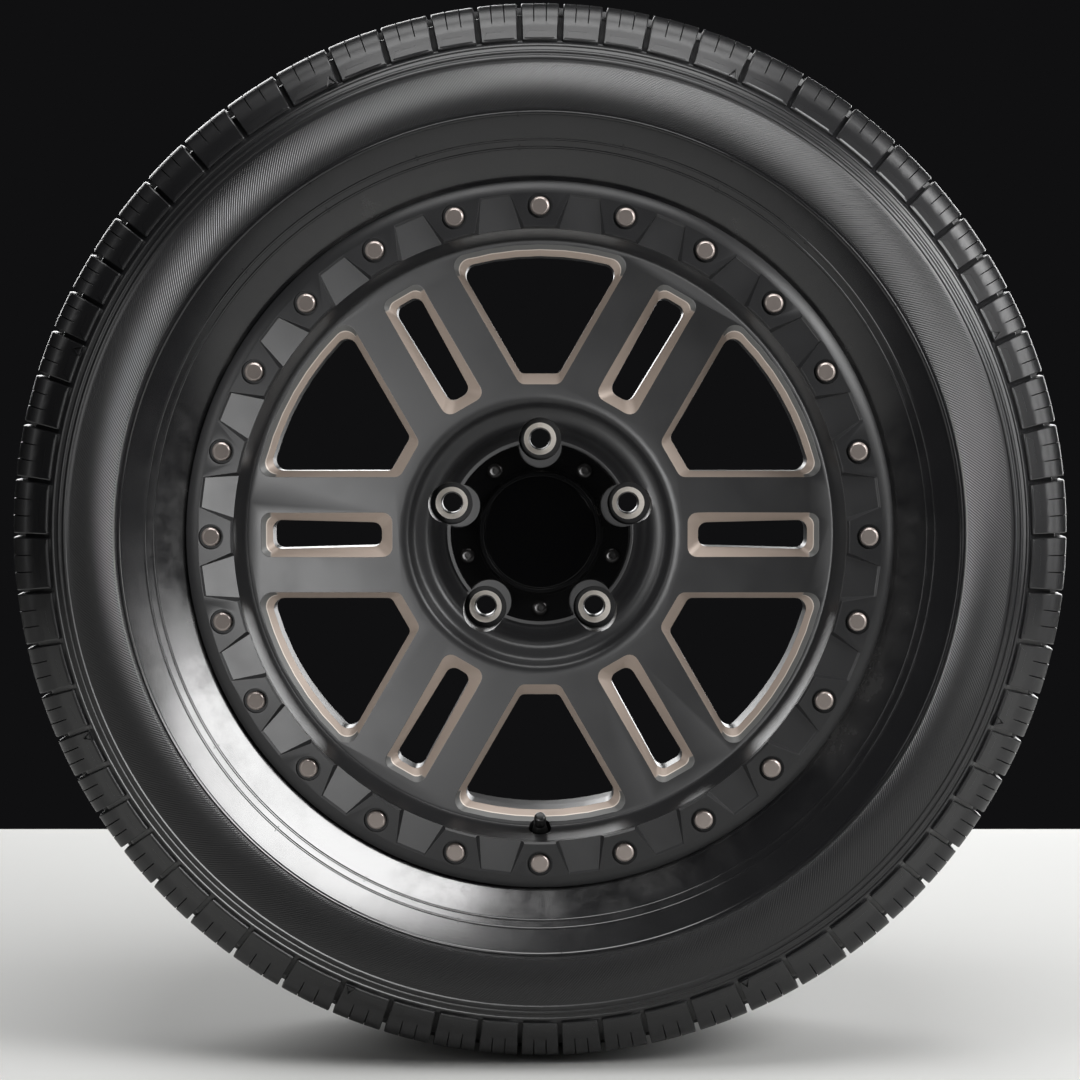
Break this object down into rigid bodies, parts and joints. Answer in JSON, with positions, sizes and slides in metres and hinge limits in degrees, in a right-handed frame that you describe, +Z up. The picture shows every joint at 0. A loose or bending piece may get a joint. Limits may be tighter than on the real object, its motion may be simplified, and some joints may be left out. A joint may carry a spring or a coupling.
{
  "type": "wheel with tyre",
  "caption": "Off-road car wheel with tyre: cast wheel with broad slotted spokes, bolted trim ring, screwed centre cap, snap-in valve and all-season tyre.",
  "frame": {"origin": "wheel centre, on the spin axis halfway between the rim flanges", "axes": "+Y along the spin axis towards the car, so the outer face looks to -Y; +Z up, with the valve at the bottom"},
  "size_m": [0.8379, 0.284, 0.838],
  "materials": {
    "tyre_rubber": "dressed black rubber, glossy on the sidewall",
    "wheel_paint": "cast aluminium with satin dark grey paint and lighter machined bevels",
    "ring_paint": "cast aluminium with satin dark grey paint",
    "zinc_steel": "bright zinc plating",
    "cap_plastic": "gloss black moulding",
    "black_screw": "glossy black coating",
    "valve_rubber": "moulded black rubber",
    "valve_brass": "turned brass",
    "gasket_rubber": "moulded seal",
    "spring_steel": "bright drawn wire",
    "valve_cap_plastic": "glossy black moulding"
  },
  "bodies": {
    "wheel_body": {"tyre": "tyre_rubber", "wheel": "wheel_paint", "trim_ring": "ring_paint", "ring_bolts": "zinc_steel", "cap_flange": "cap_plastic", "cap_disc": "cap_plastic", "cap_screws": "black_screw", "valve_rubber": "valve_rubber", "valve_tube": "valve_brass", "core_shell": "valve_brass", "core_gasket": "gasket_rubber", "core_spring": "spring_steel"},
    "valve_cap_body": {"valve_cap": "valve_cap_plastic", "cap_washer": "gasket_rubber"},
    "core_pin_body": {"core_pin": "valve_brass"}
  },
  "joints": [
    {"name": "valve_cap_slide", "type": "slide", "parent": "wheel_body", "child": "valve_cap_body", "axis": [0, -0.809, 0.5878], "range_m": [0, 0.014]},
    {"name": "core_pin_press", "type": "slide", "parent": "wheel_body", "child": "core_pin_body", "axis": [0, 0.809, -0.5878], "range_m": [0, 0.0015], "stiffness_N_per_m": 600, "springref_m": -0.002, "deforming": ["core_spring"]}
  ]
}
